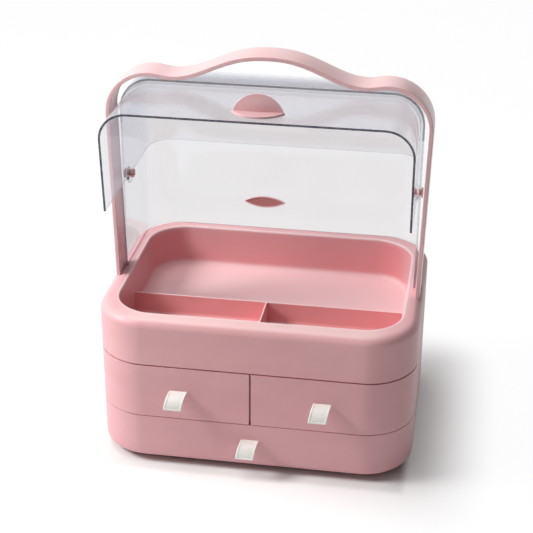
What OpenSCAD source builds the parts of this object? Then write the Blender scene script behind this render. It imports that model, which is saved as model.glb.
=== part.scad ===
// Vanity organizer with three drawers, an open tray under a flip-up clear
// lid, and a strap handle over it. Millimetres, +Z up, front towards -Y,
// ground at Z = 0, origin at the middle of the whole footprint.

/* [Body] */
// Width of the body
body_w = 300; // [280:1:330]
// Depth of the body
body_d = 229; // [222:1:245]
// Plan radius of the body's vertical corners
corner_r = 48; // [44:1:50]
// Height of the lower drawer's tier
lower_h = 46.5; // [42:0.5:60]
// Height of the upper drawers' tier
upper_h = 54.5; // [48:0.5:66]
// Height of the tray's tier
tray_h = 46.5; // [44:0.5:56]
// Thickness of the moulded walls
wall = 2.6; // [2.2:0.1:3]
// Seam between one front and the next
seam = 0.7; // [0.5:0.1:1]
// Rounding of the body's bottom edge
bottom_r = 10; // [8:0.5:11]
// Rounding of the outer edge of the tray's rim
rim_r = 7; // [5:0.5:7.5]

/* [Base] */
// Height of the rubber feet
foot_h = 3; // [2:0.5:5]
// Radius of a rubber foot
foot_r = 9; // [7:0.5:11]
// Thickness of the base plate
base_t = 3; // [2.6:0.1:4]
// How far the base plate stands back from the body's outline
base_inset = 10; // [9:0.5:12]

/* [Tray] */
// Width of the rim beside the well
side_rim = 16; // [16:0.5:22]
// Width of the rim in front of the well
front_rim = 17.5; // [16:0.5:20]
// Width of the rim behind the well
back_rim = 17.5; // [17:0.5:22]
// Plan radius of the well's corners
well_r = 38; // [28:1:40]
// Depth of the well
well_depth = 41.5; // [36:0.5:41.5]
// Rounding between the well's floor and its walls
well_fillet = 5; // [3:0.5:7]
// Height of the dividers
divider_h = 20.5; // [14:0.5:26]
// Thickness of the dividers
divider_t = 1.8; // [1.4:0.1:2.4]
// Distance of the cross divider ahead of the body's middle
divider_dy = 18.5; // [8:0.5:30]

/* [Drawers] */
// How far the fronts wrap back round the corners
wrap_d = 50; // [50:0.5:56]
// Thickness of a front
front_t = 3; // [2.6:0.1:3.6]
// Thickness of a tub
tub_t = 2; // [1.6:0.1:2.4]
// Running clearance round a tub
tub_gap = 1.2; // [0.8:0.1:1.6]
// Gap between the two upper fronts
front_gap = 1.8; // [1:0.1:2.4]
// Distance of an upper pull tab from the middle
tab_x = 67.5; // [50:0.5:90]

/* [Pull tabs] */
// Width of a tab
tab_w = 17; // [14:0.5:20]
// Thickness of a tab
tab_t = 1.6; // [1.2:0.1:2]
// How far a tab reaches out of its front
tab_reach = 16; // [14:0.5:20]
// Radius of a tab's curl
tab_curl = 12; // [8:0.5:13]

/* [Clear shells] */
// Distance of the rear shell inside the body's sides
shell_side = 8; // [8:0.5:12]
// Distance of the rear shell inside the body's back
shell_back = 5.7; // [5:0.1:8]
// Height of the hinge above the rim
hinge_rise = 93.5; // [91:0.5:98]
// Distance of the hinge behind the body's middle
hinge_dy = 7.8; // [6.5:0.1:8]
// Distance of the rear shell's front edge ahead of the body's middle
shell_dy = 4.9; // [3:0.1:7]
// Thickness of the clear shells
clear_t = 2; // [1.8:0.1:2.4]
// Rounding of the shells' long corners
shell_round = 30; // [24:1:34]
// Clearance between the lid's dome and the rear shell
lid_gap = 1.2; // [1.2:0.1:1.6]
// Clearance between the lid's cheeks and the rear shell
cheek_gap = 1.1; // [0.9:0.1:1.3]
// Lean of the lid's front wall
lid_lean = 6.2; // [4:0.1:6.4]
// Angle that the lid stands open at
open_angle = 84; // [60:1:86]

/* [Hinge pins] */
// Radius of a pin's shank
pin_r = 3; // [2.5:0.1:3.5]
// Radial clearance of the lid on a pin
pin_gap = 0.08; // [0.03:0.01:0.1]

/* [Handle] */
// Height of the crown above the rear shell
crown_gap = 33; // [32:0.5:44]
// Height of the crown above the dips beside it
wave_h = 22.8; // [10:0.2:23.4]
// Half the distance between the dips
wave_half = 88; // [70:1:95]
// Height of the shoulders above the dips
shoulder_h = 2.4; // [0:0.1:4]
// Outer radius of the shoulders
shoulder_r = 42; // [30:1:46]
// Thickness of the strap
strap_t = 4.4; // [4:0.1:4.6]
// Width of the strap
strap_w = 30; // [20:0.5:32]
// Distance of the strap's outer faces inside the body's sides, at the rim
strap_inset = 2.8; // [2:0.1:2.9]
// How much wider the strap is at its shoulders, each side
strap_spread = 3.7; // [1:0.1:4]
// Distance of the strap's middle ahead of the body's middle
strap_dy = 10.5; // [7:0.1:12]

/* [Hidden] */

$fn = 96;
eps = 0.02;
far = 700;

pink = [0.86, 0.62, 0.62];
deep_pink = [0.82, 0.50, 0.50];
clear = [0.85, 0.87, 0.92, 0.35];
ivory = [0.93, 0.92, 0.88];
rubber = [0.25, 0.23, 0.23];
steel = [0.7, 0.7, 0.72];

// Places along the depth; the pull tabs reach out of the front only
mid_y = tab_reach / 2;
front_y = mid_y - body_d / 2;
back_y = mid_y + body_d / 2;
front_end = front_y + wrap_d;

// Heights
body_z = foot_h + base_t;
middle_z = body_z + lower_h;
tray_z = middle_z + upper_h;
rim_z = tray_z + tray_h;
floor_z = rim_z - well_depth;
divider_z = floor_z + divider_h;
divider_y = mid_y - divider_dy;
well_half = body_w / 2 - side_rim;
rim_t = 4;

// Drawers
tub_back = back_y - 19.5;
upper_in = wall / 2 + tub_gap;
tub_lip = 3;
deck_gap = 1;
lower_tub_z = body_z + wall + tub_gap;
upper_tub_z = middle_z + wall + tub_gap;
lower_tab_z = body_z + lower_h * 0.62;
upper_tab_z = middle_z + upper_h * 0.53;
clip_t = 2.4;
clip_margin = 3;

// Shells
hinge_y = mid_y + hinge_dy;
hinge_z = rim_z + hinge_rise;
shell_half = body_w / 2 - shell_side;
shell_r = back_y - shell_back - hinge_y;
shell_front = mid_y - shell_dy;
shell_foot = 2.5;
lid_half = shell_half - clear_t - cheek_gap;
lid_r = shell_r - clear_t - lid_gap;
lid_round = shell_round - clear_t - lid_gap;
lid_low = rim_z + 0.6;
lid_drop = (hinge_z - lid_low) / cos(lid_lean) + lid_r * tan(lid_lean);
ear_r = 9.5;
pin_head_r = 5;
pin_head_t = 1.5;
pin_end_r = 4.4;
pin_end_t = 3;
pin_slot_t = 1.2;
pin_slot_h = 3;
washer_r = 7;
washer_t = 0.7;
end_gap = 0.4;

// Grip: a lens-shaped foot with a half-round hood over its upper part
grip_w = 47;
grip_front = 14;
grip_rear = 11;
grip_out = 18.5;
grip_foot_t = 2;
grip_up = 22;
grip_front_arc = arc_r(grip_w, grip_front);
grip_rear_arc = arc_r(grip_w, grip_rear);
grip_face_arc = arc_r(grip_w, grip_out);
grip_sphere = sqrt(pow(grip_face_arc, 2) + pow(grip_rear_arc - grip_rear, 2));
scoop_w = 24;
scoop_d = 2.5;
scoop_z = 8;
grip_screw_x = 9;
grip_screw_y = 4;
grip_thread = 6;

// Rear plate
plate_w = 43;
plate_h = 12;
plate_t = 1.6;
plate_rise = 29.5;
plate_x = -22;
plate_arc = arc_r(plate_w, plate_h / 2);

// Handle
strap_y = mid_y - strap_dy;
strap_half = body_w / 2 - strap_inset;
strap_in = strap_half - strap_t;
strap_foot_z = tray_z + 6;
strap_slack = 0.2;
shelf_t = 2.4;
crown_z = hinge_z + shell_r + crown_gap;
shoulder_z = crown_z - wave_h + shoulder_h;

// Screws
screw_r = 1.4;
screw_head_r = 2.8;
screw_head_t = 1.6;
screw_slack = 0.2;
base_screw_inset = 40;
base_screw_x = [for (k = [-1, -0.36, 0.36, 1]) k * (body_w / 2 - base_screw_inset)];
base_screw_y = back_y - base_inset - 4.4;
boss_r = 3.2;
boss_h = 9;
strap_screw_dy = 8;
strap_thread = 9;
pilot_end = 1.5;
foot_inset = 24;

// ---------- shapes ----------

// Radius of an arc from its chord and its rise
function arc_r(chord, rise) = (chord * chord / 4 + rise * rise) / (2 * rise);

module box(x0, x1, y0, y1, z0, z1) {
    translate([x0, y0, z0]) cube([x1 - x0, y1 - y0, z1 - z0]);
}

// Rounded rectangle
module plan(x0, x1, y0, y1, r) {
    translate([x0 + r, y0]) square([x1 - x0 - 2 * r, y1 - y0]);
    translate([x0, y0 + r]) square([x1 - x0, y1 - y0 - 2 * r]);
    for (x = [x0 + r, x1 - r], y = [y0 + r, y1 - r]) translate([x, y]) circle(r);
}

// The body's outline, drawn in by a distance
module body_plan(inset) {
    plan(inset - body_w / 2, body_w / 2 - inset, front_y + inset, back_y - inset, corner_r - inset);
}

module well_plan(grow) {
    plan(-well_half - grow, well_half + grow, front_y + front_rim - grow,
        back_y - back_rim + grow, well_r + grow);
}

// Upright bar from a to b, with rounded lower and upper corners
module side_view(a, b, z0, z1, low_r, high_r) {
    difference() {
        translate([a, z0]) square([b - a, z1 - z0]);
        if (low_r > 0) {
            corner_cut(a, z0, low_r, 1, 1);
            corner_cut(b, z0, low_r, -1, 1);
        }
        if (high_r > 0) {
            corner_cut(a, z1, high_r, 1, -1);
            corner_cut(b, z1, high_r, -1, -1);
        }
    }
}

// What rounding takes off the corner at (u, v); the bar lies towards (su, sv)
module corner_cut(u, v, r, su, sv) {
    translate([u, v]) difference() {
        translate([su > 0 ? -1 : -r, sv > 0 ? -1 : -r]) square([r + 1, r + 1]);
        translate([su * r, sv * r]) circle(r);
    }
}

// A block with the body's outline, its lower or upper edges rounded
module tier(z0, z1, low_r, high_r, inset) {
    intersection() {
        translate([0, 0, z0]) linear_extrude(z1 - z0) body_plan(inset);
        if (low_r + high_r > 0)
            rotate([90, 0, 0]) linear_extrude(far, center = true)
                side_view(inset - body_w / 2, body_w / 2 - inset, z0, z1, low_r, high_r);
        if (low_r + high_r > 0)
            rotate([90, 0, 90]) linear_extrude(far, center = true)
                side_view(front_y + inset, back_y - inset, z0, z1, low_r, high_r);
    }
}

module x_rod(r, x0, x1, y, z) {
    translate([x0, y, z]) rotate([0, 90, 0]) cylinder(r = r, h = x1 - x0);
}

// Lens with two pointed ends, as wide as w and as high as h
module lens(w, h, arc) {
    intersection() {
        translate([0, arc - h / 2]) circle(arc, $fn = 240);
        translate([0, h / 2 - arc]) circle(arc, $fn = 240);
    }
}

// ---------- base ----------

module base_plate() color(deep_pink) difference() {
    translate([0, 0, foot_h]) linear_extrude(base_t) body_plan(base_inset);
    for (x = base_screw_x) translate([x, base_screw_y, foot_h - eps]) {
        cylinder(r = screw_r + screw_slack, h = base_t + 1);
        cylinder(r = screw_head_r + screw_slack, h = screw_head_t + eps);
    }
}

module foot(sx, sy) color(rubber)
    translate([sx * (body_w / 2 - base_inset - foot_inset), mid_y + sy * (body_d / 2 - base_inset - foot_inset), 0])
        cylinder(r1 = foot_r - 1, r2 = foot_r, h = foot_h);

module foot_front_left() foot(-1, -1);
module foot_front_right() foot(1, -1);
module foot_rear_left() foot(-1, 1);
module foot_rear_right() foot(1, 1);

module base_screws() color(steel) for (x = base_screw_x) translate([x, base_screw_y, foot_h]) {
    cylinder(r = screw_head_r, h = screw_head_t);
    cylinder(r = screw_r, h = base_t + boss_h - pilot_end);
}

// ---------- frames ----------

module lower_frame() color(pink) difference() {
    union() {
        difference() {
            tier(body_z, middle_z, bottom_r, 0, 0);
            tier(body_z + wall, middle_z + 1, bottom_r - wall, 0, wall);
            box(-far, far, -far, front_end, -far, far);
        }
        // Tongue below the drawer's front
        intersection() {
            translate([0, 0, body_z]) linear_extrude(wall) body_plan(base_inset);
            box(-far, far, -far, front_end + 1, -far, far);
        }
        for (x = base_screw_x) translate([x, base_screw_y, body_z]) cylinder(r = boss_r, h = boss_h);
    }
    for (x = base_screw_x) translate([x, base_screw_y, body_z - 1])
        cylinder(r = screw_r, h = boss_h);
}

module middle_frame() color(pink) {
    difference() {
        translate([0, 0, middle_z]) linear_extrude(upper_h) body_plan(0);
        translate([0, 0, middle_z + wall]) linear_extrude(upper_h) body_plan(wall);
        box(-far, far, -far, front_end, -far, far);
        seam_groove(middle_z);
    }
    // Deck over the lower drawer's front
    intersection() {
        translate([0, 0, middle_z]) linear_extrude(wall) body_plan(front_t + deck_gap);
        box(-far, far, -far, front_end + 1, -far, far);
    }
    // Partition between the upper drawers
    box(-wall / 2, wall / 2, front_y + front_t + deck_gap, back_y - wall / 2,
        middle_z + wall / 2, tray_z - 0.5);
}

// Shallow groove round the outside, above a joint
module seam_groove(z) {
    difference() {
        box(-far, far, -far, far, z - 1, z + seam);
        translate([0, 0, z - 2]) linear_extrude(seam + 3) body_plan(0.9);
    }
}

// ---------- tray ----------

module top_tray() color(pink) difference() {
    union() {
        difference() {
            tier(tray_z, rim_z, 0, rim_r, 0);
            well();
            tray_hollow();
            seam_groove(tray_z);
        }
        intersection() {
            union() {
                box(-far, far, divider_y - divider_t / 2, divider_y + divider_t / 2, floor_z - 1, divider_z);
                box(-divider_t / 2, divider_t / 2, -far, divider_y, floor_z - 1, divider_z);
            }
            translate([0, 0, floor_z - 1]) linear_extrude(well_depth) well_plan(1);
        }
        for (s = [-1, 1]) foot_shelf(s);
    }
    shell_groove();
    for (s = [-1, 1]) {
        strap_slot(s);
        for (dy = [-strap_screw_dy, strap_screw_dy])
            translate([s * (strap_in + strap_half) / 2, strap_y + dy, tray_z - 1]) {
                cylinder(r = screw_r + screw_slack, h = strap_foot_z - tray_z + 2);
                // Way in for the screw's head, through the shelf's underside and past the wall
                cylinder(r = screw_head_r + screw_slack, h = strap_foot_z - shelf_t - tray_z + 1);
            }
    }
}

module well() intersection() {
    translate([0, 0, floor_z]) linear_extrude(well_depth + 1) well_plan(0);
    rotate([90, 0, 0]) linear_extrude(far, center = true)
        side_view(-well_half, well_half, floor_z, rim_z + 20, well_fillet, 0);
    rotate([90, 0, 90]) linear_extrude(far, center = true)
        side_view(front_y + front_rim, back_y - back_rim, floor_z, rim_z + 20, well_fillet, 0);
}

// Space inside the rim and under the floor
module tray_hollow() difference() {
    translate([0, 0, tray_z - 1]) linear_extrude(tray_h + 1 - rim_t) body_plan(wall);
    translate([0, 0, floor_z - wall]) linear_extrude(tray_h) well_plan(wall);
}

// Shelf in the hollow rim for a foot of the handle
module foot_shelf(s) {
    x0 = well_half + wall / 2;
    x1 = body_w / 2 - wall / 2;
    box(s > 0 ? x0 : -x1, s > 0 ? x1 : -x0, strap_y - strap_w / 2 - 3, strap_y + strap_w / 2 + 3,
        strap_foot_z - shelf_t, strap_foot_z);
}

module strap_slot(s) {
    x0 = strap_in - strap_slack;
    x1 = strap_half + strap_slack;
    box(s > 0 ? x0 : -x1, s > 0 ? x1 : -x0, strap_y - strap_w / 2 - strap_slack,
        strap_y + strap_w / 2 + strap_slack, strap_foot_z, rim_z + 1);
}

// Groove in the rim for the rear shell's lower edge
module shell_groove() intersection() {
    translate([0, 0, rim_z - shell_foot]) linear_extrude(shell_foot + 1) difference() {
        shell_plan(0.1);
        shell_plan(-clear_t - 0.1);
    }
    box(-far, far, shell_front - 0.3, far, -far, far);
}

// ---------- drawers ----------

// side: -1 left, 1 right, 0 the whole width; room: the body's outline drawn
// in by this leaves space for what the tub slides over
module drawer(side, z0, z1, low_r, room, tub_z, pull_x, pull_z) color(pink) difference() {
    union() {
        intersection() {
            tier(z0, z1, low_r, 0, 0);
            union() {
                span(side, upper_in, -far, front_end - seam);
                span(side, front_gap / 2, -far, front_y + front_t);
            }
        }
        intersection() {
            tier(tub_z, z1 - tub_lip, max(low_r - wall - tub_gap, 0), 0, wall + tub_gap);
            span(side, upper_in, -far, tub_back);
        }
    }
    translate([0, 0, z0 - 1]) linear_extrude(tub_z - z0 + 1) body_plan(room);
    intersection() {
        tier(tub_z + tub_t, z1 + 1, max(low_r - front_t - 2, 0), 0, front_t);
        span(side, upper_in + tub_t, -far, front_end - seam - tub_t);
    }
    intersection() {
        tier(tub_z + tub_t, z1 + 1, max(low_r - wall - tub_gap - tub_t, 0), 0, wall + tub_gap + tub_t);
        span(side, upper_in + tub_t, -far, tub_back - tub_t);
    }
    tab_hole(pull_x, pull_z, front_y - 1, front_y + front_t + 1);
}

// Everything from y0 to y1 that belongs to one side, from a distance off centre
module span(side, x, y0, y1) {
    box(side > 0 ? x : -far, side < 0 ? -x : far, y0, y1, -far, far);
}

module lower_drawer() drawer(0, body_z, middle_z - seam, bottom_r, base_inset - 1, lower_tub_z,
    0, lower_tab_z);

module upper_left_drawer() drawer(-1, middle_z, tray_z - seam, 0, front_t, upper_tub_z,
    -tab_x, upper_tab_z);

module upper_right_drawer() drawer(1, middle_z, tray_z - seam, 0, front_t, upper_tub_z,
    tab_x, upper_tab_z);

// ---------- pull tabs ----------

module tab_hole(x, z, y0, y1) {
    box(x - tab_w / 2 - 0.05, x + tab_w / 2 + 0.05, y0, y1, z - tab_t / 2 - 0.05, z + tab_t / 2 + 0.05);
}

// Strip through the front, curling down at its outer end
module tab(x, z) color(ivory) {
    bend_y = front_y - tab_reach + tab_curl;
    box(x - tab_w / 2, x + tab_w / 2, bend_y, front_y + front_t + clip_t + 2, z - tab_t / 2, z + tab_t / 2);
    intersection() {
        difference() {
            x_rod(tab_curl, x - tab_w / 2, x + tab_w / 2, bend_y, z + tab_t / 2 - tab_curl);
            x_rod(tab_curl - tab_t, x - tab_w, x + tab_w, bend_y, z + tab_t / 2 - tab_curl);
        }
        box(-far, far, bend_y - tab_curl - 1, bend_y, z + tab_t / 2 - tab_curl, far);
    }
}

// Clip on the tab behind the front
module tab_clip(x, z) color(ivory) difference() {
    box(x - tab_w / 2 - clip_margin, x + tab_w / 2 + clip_margin, front_y + front_t,
        front_y + front_t + clip_t, z - tab_t / 2 - clip_margin, z + tab_t / 2 + clip_margin);
    tab_hole(x, z, front_y, front_y + front_t + clip_t + 1);
}

module lower_tab() tab(0, lower_tab_z);
module upper_left_tab() tab(-tab_x, upper_tab_z);
module upper_right_tab() tab(tab_x, upper_tab_z);
module lower_tab_clip() tab_clip(0, lower_tab_z);
module upper_left_tab_clip() tab_clip(-tab_x, upper_tab_z);
module upper_right_tab_clip() tab_clip(tab_x, upper_tab_z);

// ---------- handle ----------

wave_n = 24;
bend_n = 12;
shoulder_x = strap_half + strap_spread - shoulder_r;
lean = atan(strap_spread / (shoulder_z - shoulder_r - rim_z));

// Height of the strap's middle at a distance from the centre
function wave_z(x) = x < wave_half
    ? crown_z - strap_t / 2 - wave_h * (1 - cos(180 * pow(x / wave_half, 1.2))) / 2
    : shoulder_z - strap_t / 2 - shoulder_h * (1 + cos(180 * (x - wave_half) / (shoulder_x - wave_half))) / 2;

// Direction of the strap there, as an angle above the horizontal
function wave_a(x) = atan((wave_z(x + 0.01) - wave_z(x)) / 0.01);

// A point of the strap's edge: k half-thicknesses outside its middle line
function wave_p(x, k) = [x - sin(wave_a(x)) * k * strap_t / 2, wave_z(x) + cos(wave_a(x)) * k * strap_t / 2];
function bend_p(a, k) = [shoulder_x + (shoulder_r - strap_t / 2 + k * strap_t / 2) * sin(a),
    shoulder_z - shoulder_r + (shoulder_r - strap_t / 2 + k * strap_t / 2) * cos(a)];

function strap_edge(k) = concat(
    [for (i = [0 : wave_n - 1]) wave_p(shoulder_x * (i + 0.5) / wave_n, k)],
    [for (i = [1 : bend_n]) bend_p((90 + lean) * i / bend_n, k)],
    [[k > 0 ? strap_half : strap_in, rim_z], [k > 0 ? strap_half : strap_in, strap_foot_z]]);

function reversed(list) = [for (i = [len(list) - 1 : -1 : 0]) list[i]];

function mirrored(list) = [for (p = reversed(list)) [-p[0], p[1]]];

module handle() color(pink) difference() {
    translate([0, strap_y, 0]) rotate([90, 0, 0]) linear_extrude(strap_w, center = true)
        polygon(concat(mirrored(strap_edge(1)), strap_edge(1), reversed(strap_edge(-1)),
            reversed(mirrored(strap_edge(-1)))));
    for (s = [-1, 1], dy = [-strap_screw_dy, strap_screw_dy])
        translate([s * (strap_in + strap_half) / 2, strap_y + dy, strap_foot_z - 1])
            cylinder(r = screw_r, h = 1 + strap_thread + pilot_end);
}

module handle_screws() color(steel)
    for (s = [-1, 1], dy = [-strap_screw_dy, strap_screw_dy])
        translate([s * (strap_in + strap_half) / 2, strap_y + dy, strap_foot_z - shelf_t - screw_head_t]) {
            cylinder(r = screw_head_r, h = screw_head_t);
            cylinder(r = screw_r, h = screw_head_t + shelf_t + strap_thread);
        }

// ---------- rear shell ----------

module shell_plan(grow) {
    plan(-shell_half - grow, shell_half + grow, hinge_y - shell_r - grow, hinge_y + shell_r + grow,
        shell_round + grow);
}

// Half barrel about the hinge, running down into straight walls that lean by an angle
module barrel(half, r, round, drop, angle) translate([0, hinge_y, hinge_z]) rotate([-angle, 0, 0]) {
    difference() {
        rotate([0, 90, 0]) rotate_extrude() intersection() {
            plan(-r, r, -half, half, round);
            translate([0, -half]) square([r, 2 * half]);
        }
        box(-far, far, -far, far, -far, 0);
    }
    translate([0, 0, -drop]) linear_extrude(drop) plan(-half, half, -r, r, round);
}

module rear_shell() color(clear) difference() {
    barrel(shell_half, shell_r, shell_round, hinge_rise + shell_foot, 0);
    barrel(shell_half - clear_t, shell_r - clear_t, shell_round - clear_t, far, 0);
    box(-far, far, -far, shell_front, -far, far);
    x_rod(pin_r, -far, far, hinge_y, hinge_z);
}

// Lens-shaped plate on the rear wall's inside
module rear_plate() color(pink)
    translate([plate_x, hinge_y + shell_r - clear_t, rim_z + plate_rise]) rotate([90, 0, 0])
        linear_extrude(plate_t) lens(plate_w, plate_h, plate_arc);

// ---------- hinge ----------

module hinge_pin(s) color(pink) {
    x0 = lid_half - clear_t - end_gap;
    mirror([s < 0 ? 1 : 0, 0, 0]) difference() {
        union() {
            x_rod(pin_r, x0 - pin_end_t, shell_half + pin_head_t, hinge_y, hinge_z);
            x_rod(pin_head_r, shell_half, shell_half + pin_head_t, hinge_y, hinge_z);
            x_rod(pin_end_r, x0 - pin_end_t, x0, hinge_y, hinge_z);
        }
        // Slot that lets the end spring together
        box(x0 - pin_end_t - 1, x0 + pin_slot_h, hinge_y - 2 * pin_end_r, hinge_y + 2 * pin_end_r,
            hinge_z - pin_slot_t / 2, hinge_z + pin_slot_t / 2);
    }
}

module left_hinge_pin() hinge_pin(-1);
module right_hinge_pin() hinge_pin(1);

module hinge_washer(s) color(ivory) mirror([s < 0 ? 1 : 0, 0, 0]) difference() {
    x_rod(washer_r, shell_half - clear_t - washer_t, shell_half - clear_t, hinge_y, hinge_z);
    x_rod(pin_r, lid_half, shell_half, hinge_y, hinge_z);
}

module left_hinge_washer() hinge_washer(-1);
module right_hinge_washer() hinge_washer(1);

// ---------- front lid ----------

// Turns what is modelled shut to the angle that the lid stands open at
module opened() translate([0, hinge_y, hinge_z]) rotate([-open_angle, 0, 0])
    translate([0, -hinge_y, -hinge_z]) children();

// Frame on the lid's front wall: origin on its outside, a height above the
// lower edge, +Z out of the wall, +Y up along it
module on_wall(x, up) translate([0, hinge_y, hinge_z]) rotate([-lid_lean, 0, 0])
    translate([x, -lid_r, up - lid_drop]) rotate([90, 0, 0]) children();

module front_lid() color(clear) opened() difference() {
    union() {
        difference() {
            barrel(lid_half, lid_r, lid_round, lid_drop + clear_t, lid_lean);
            barrel(lid_half - clear_t, lid_r - clear_t, lid_round - clear_t, lid_drop + 2 * clear_t, lid_lean);
            box(-far, far, -far, far, -far, lid_low);
            translate([0, hinge_y, hinge_z]) rotate([-lid_lean, 0, 0]) box(-far, far, 0, far, -far, far);
        }
        for (s = [-1, 1]) ear(s);
    }
    x_rod(pin_r + pin_gap, -far, far, hinge_y, hinge_z);
    grip_screw_places() translate([0, 0, -clear_t - 1]) cylinder(r = screw_r + screw_slack, h = clear_t + 2);
}

module grip_screw_places() for (x = [-grip_screw_x, grip_screw_x]) on_wall(x, grip_up + grip_screw_y) children();

module ear(s) x_rod(ear_r, s > 0 ? lid_half - clear_t : -lid_half, s > 0 ? lid_half : clear_t - lid_half,
    hinge_y, hinge_z);

// Half-round hood on a lens-shaped foot, its face towards the lid's free edge
module lid_grip() color(pink) opened() difference() {
    on_wall(0, grip_up) difference() {
        union() {
            linear_extrude(grip_foot_t) intersection() {
                translate([0, grip_front_arc - grip_front]) circle(grip_front_arc, $fn = 240);
                translate([0, grip_rear - grip_rear_arc]) circle(grip_rear_arc, $fn = 240);
            }
            intersection() {
                translate([0, grip_rear - grip_rear_arc, grip_out - grip_face_arc]) sphere(grip_sphere, $fn = 160);
                box(-grip_w, grip_w, 0, grip_w, 0, grip_w);
            }
        }
        // Shallow hollow for the finger
        intersection() {
            translate([0, scoop_d - arc_r(scoop_w, scoop_d), scoop_z]) sphere(arc_r(scoop_w, scoop_d), $fn = 160);
            box(-grip_w, grip_w, -eps, grip_w, grip_foot_t, grip_w);
        }
    }
    grip_screw_places() translate([0, 0, -1]) cylinder(r = screw_r, h = 1 + grip_thread + pilot_end);
}

module grip_screws() color(steel) opened() grip_screw_places() translate([0, 0, -clear_t - screw_head_t]) {
    cylinder(r = screw_head_r, h = screw_head_t);
    cylinder(r = screw_r, h = clear_t + screw_head_t + grip_thread);
}

base_plate();
foot_front_left();
foot_front_right();
foot_rear_left();
foot_rear_right();
base_screws();
lower_frame();
middle_frame();
top_tray();
lower_drawer();
upper_left_drawer();
upper_right_drawer();
lower_tab();
upper_left_tab();
upper_right_tab();
lower_tab_clip();
upper_left_tab_clip();
upper_right_tab_clip();
handle();
handle_screws();
rear_shell();
rear_plate();
left_hinge_pin();
right_hinge_pin();
left_hinge_washer();
right_hinge_washer();
front_lid();
lid_grip();
grip_screws();
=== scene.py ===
import math

import bmesh
import bpy
from mathutils import Matrix, Vector

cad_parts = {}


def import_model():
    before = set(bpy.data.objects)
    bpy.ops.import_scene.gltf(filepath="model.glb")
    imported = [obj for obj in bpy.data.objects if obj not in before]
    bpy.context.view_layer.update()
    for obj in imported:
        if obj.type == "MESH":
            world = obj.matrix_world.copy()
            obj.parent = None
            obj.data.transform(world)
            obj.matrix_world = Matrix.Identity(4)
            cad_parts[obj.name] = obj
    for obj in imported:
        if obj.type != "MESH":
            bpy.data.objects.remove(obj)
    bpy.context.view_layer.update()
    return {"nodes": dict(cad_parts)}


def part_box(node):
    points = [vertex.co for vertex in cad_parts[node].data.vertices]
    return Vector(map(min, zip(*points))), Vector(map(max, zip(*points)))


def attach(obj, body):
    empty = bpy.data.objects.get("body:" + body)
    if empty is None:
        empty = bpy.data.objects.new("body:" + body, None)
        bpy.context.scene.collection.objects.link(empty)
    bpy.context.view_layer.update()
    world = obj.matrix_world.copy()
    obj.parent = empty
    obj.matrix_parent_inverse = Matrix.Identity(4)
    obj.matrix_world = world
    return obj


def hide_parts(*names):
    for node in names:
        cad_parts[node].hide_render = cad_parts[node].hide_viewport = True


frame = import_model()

# Sizes that the pieces share, in metres

# Case
BODY_HALF = 0.150
FRONT_Y = -0.1065
BACK_Y = 0.1225
CORNER_R = 0.048
FOOT_H = 0.003
BODY_Z = 0.006
MIDDLE_Z = 0.0525
TRAY_Z = 0.107
RIM_Z = 0.1535
LOW_R = 0.007
WALL = 0.0026
SEAM = 0.0007
FRONT_END = -0.0565
BASE_INSET = 0.010

# Tray
FLOOR_Z = 0.112
WELL_Y = (FRONT_Y + BACK_Y) / 2
WELL_HALF_X = 0.134
WELL_HALF_Y = (BACK_Y - FRONT_Y) / 2 - 0.0175
WELL_R = 0.038
BRIM_R = 0.0014
DIVIDER_H = 0.0205
DIVIDER_Y = -0.0105

# Drawers and pull tabs
FRONT_T = 0.003
TUB_T = 0.002
TUB_GAP = 0.0012
TUB_BACK = 0.103
TUB_LIP = 0.003
UPPER_IN = 0.0025
HALF_FRONT_GAP = 0.0009
TAB_X = 0.0675
LOWER_TAB_Z = 0.03483
UPPER_TAB_Z = 0.081385
TAB_T, TAB_W, TAB_CURL = 0.0016, 0.017, 0.012
TAB_OUT, TAB_IN = 0.0157, 0.0044
TAB_BEND = math.radians(78)

# Clear shells
HINGE = Vector((0, 0.0158, 0.247))
CLEAR_T = 0.002
SHELL_HALF = 0.142
SHELL_R = 0.101
SHELL_ROUND = 0.030
SHELL_FRONT = 0.0031
OPEN_ANGLE = math.radians(84)
LEAN = math.radians(6.2)
LID_HALF = 0.1389
LID_R = 0.0978
LID_ROUND = 0.0268
LID_LOW = RIM_Z + 0.0006
LID_DROP = (HINGE.z - LID_LOW) / math.cos(LEAN) + LID_R * math.tan(LEAN)
EAR_R = 0.0095
PIN_R = 0.0030

# Lid grip and rear plate
GRIP_W, GRIP_FRONT, GRIP_REAR, GRIP_OUT = 0.047, 0.014, 0.011, 0.0185
GRIP_UP = 0.022
PLATE_W, PLATE_H, PLATE_T = 0.043, 0.012, 0.0016
PLATE_X, PLATE_RISE = -0.022, 0.0295

# Strap
STRAP_Y = -0.0025
STRAP_T = 0.0044
STRAP_EDGE = 0.0040
STRAP_W = 0.030
STRAP_HALF = 0.1472
STRAP_SLACK = 0.0002
CROWN_Z, WAVE_H, WAVE_HALF = 0.381, 0.0228, 0.088
SHOULDER_H, SHOULDER_R, SPREAD = 0.0024, 0.042, 0.0037
SHOULDER_X = STRAP_HALF + SPREAD - SHOULDER_R
SHOULDER_Z = CROWN_Z - WAVE_H + SHOULDER_H

# How far a cutter runs past what it cuts
PAST = 0.010


# ---------- shader tools ----------

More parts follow.
